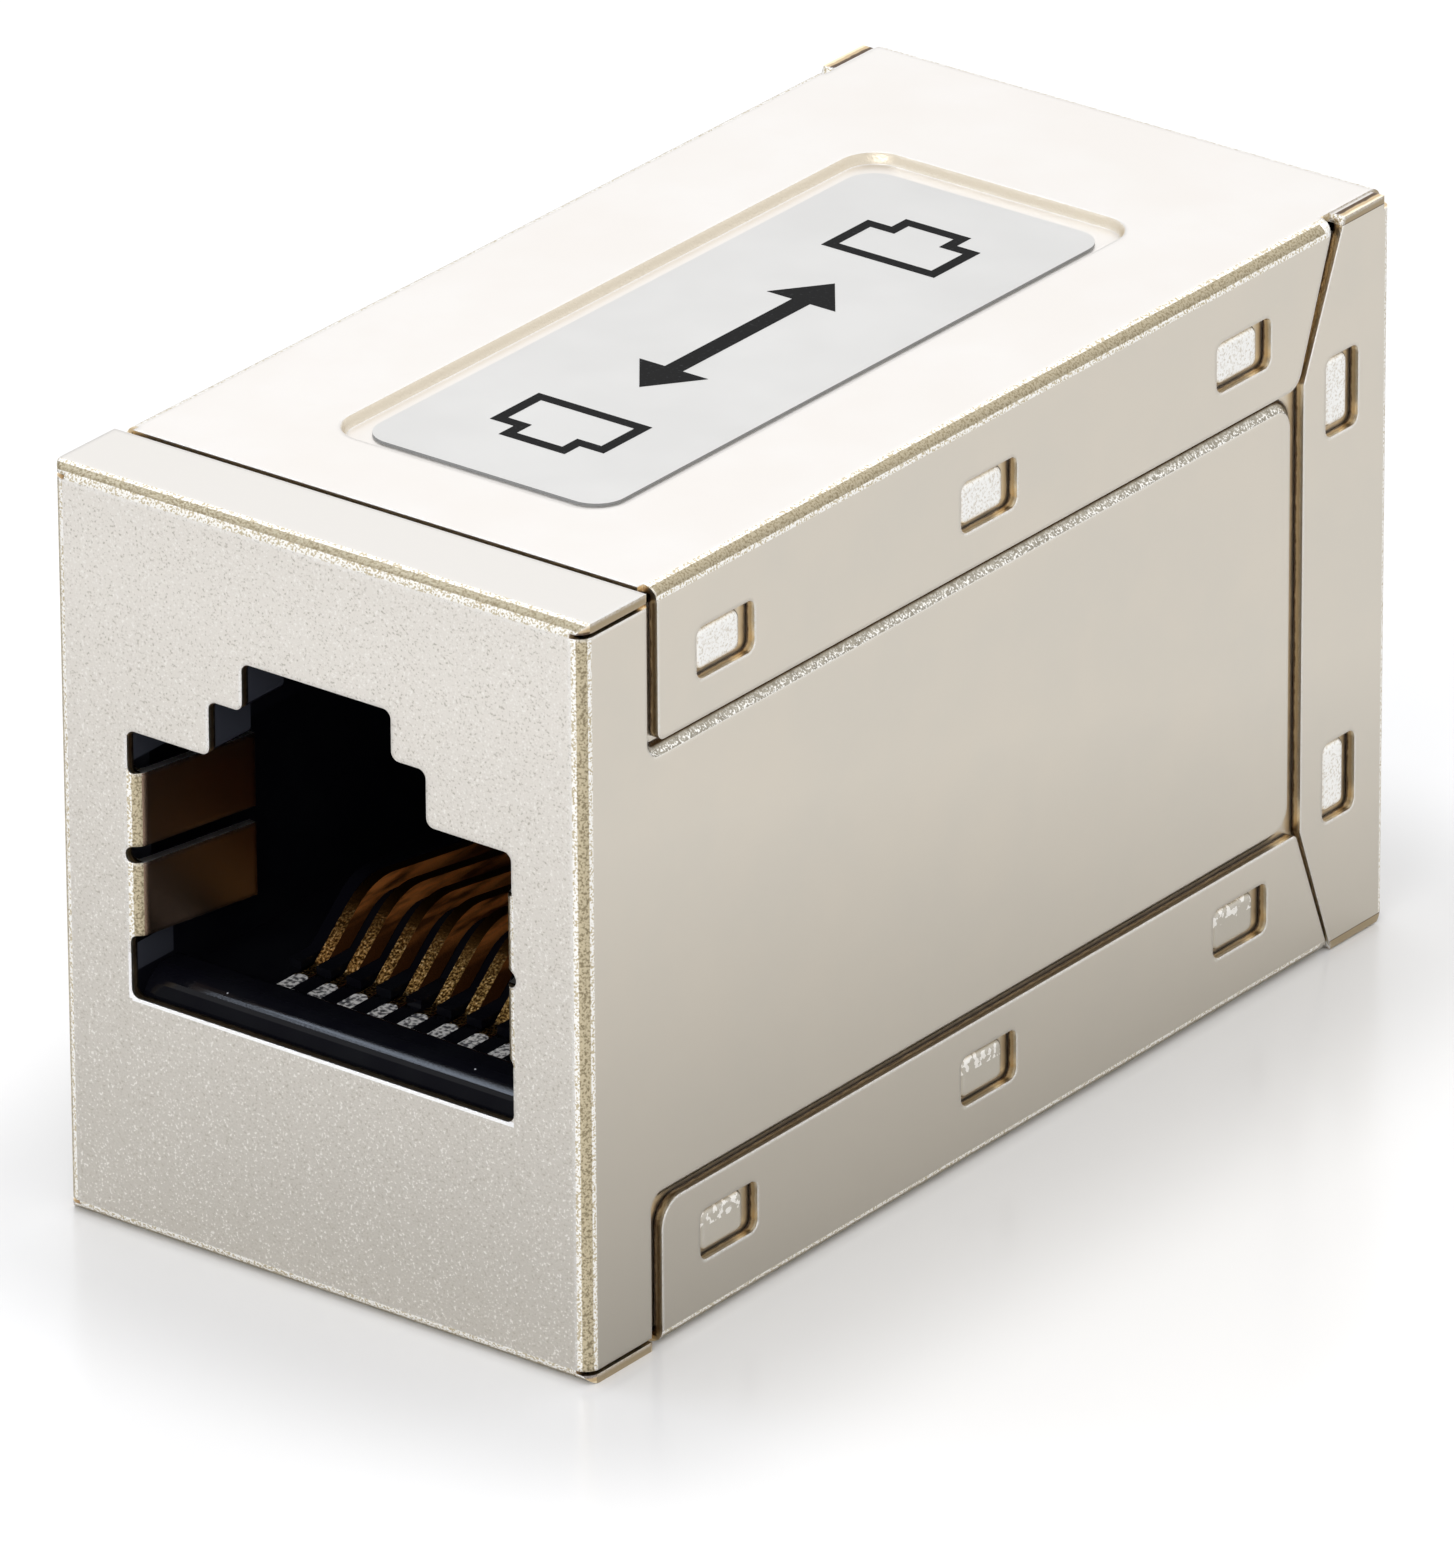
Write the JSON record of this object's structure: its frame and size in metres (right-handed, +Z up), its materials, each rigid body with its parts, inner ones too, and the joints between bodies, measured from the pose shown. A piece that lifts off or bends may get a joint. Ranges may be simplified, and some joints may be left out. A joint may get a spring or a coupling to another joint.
{
  "type": "shielded modular jack coupler",
  "caption": "Slim metal-cased inline coupler that joins two network cables end to end, with a jack at each end and a folded sheet-metal shield.",
  "frame": {"origin": "middle of the bounding box's underside", "axes": "+Z up, away from the face it rests on; -Y out of the front jack, the one seen in the picture; +Y out of the rear jack; +X to the right as seen facing the front jack"},
  "size_m": [0.0176, 0.036, 0.0219],
  "materials": {
    "front_shell_nickel": "satin nickel plating",
    "rear_shell_nickel": "satin nickel plating",
    "label_film": "matte silver-grey film",
    "jack_housing_plastic": "moulded, slightly glossy",
    "contact_carrier_plastic": "moulded, glossy",
    "contact_metal": "gold plated working edge, tinned foot",
    "circuit_board_laminate": "solder resist",
    "solder": "soft solder"
  },
  "bodies": {
    "root": {"front_shell": "front_shell_nickel", "rear_shell": "rear_shell_nickel", "label": "label_film", "front_jack_housing": "jack_housing_plastic", "rear_jack_housing": "jack_housing_plastic", "front_contact_carrier": "contact_carrier_plastic", "rear_contact_carrier": "contact_carrier_plastic", "circuit_board": "circuit_board_laminate", "front_solder_joints": "solder", "rear_solder_joints": "solder", "front_contact_1": "contact_metal", "front_contact_2": "contact_metal", "front_contact_3": "contact_metal", "front_contact_4": "contact_metal", "front_contact_5": "contact_metal", "front_contact_6": "contact_metal", "front_contact_7": "contact_metal", "front_contact_8": "contact_metal", "rear_contact_1": "contact_metal", "rear_contact_2": "contact_metal", "rear_contact_3": "contact_metal", "rear_contact_4": "contact_metal", "rear_contact_5": "contact_metal", "rear_contact_6": "contact_metal", "rear_contact_7": "contact_metal", "rear_contact_8": "contact_metal"}
  },
  "joints": []
}
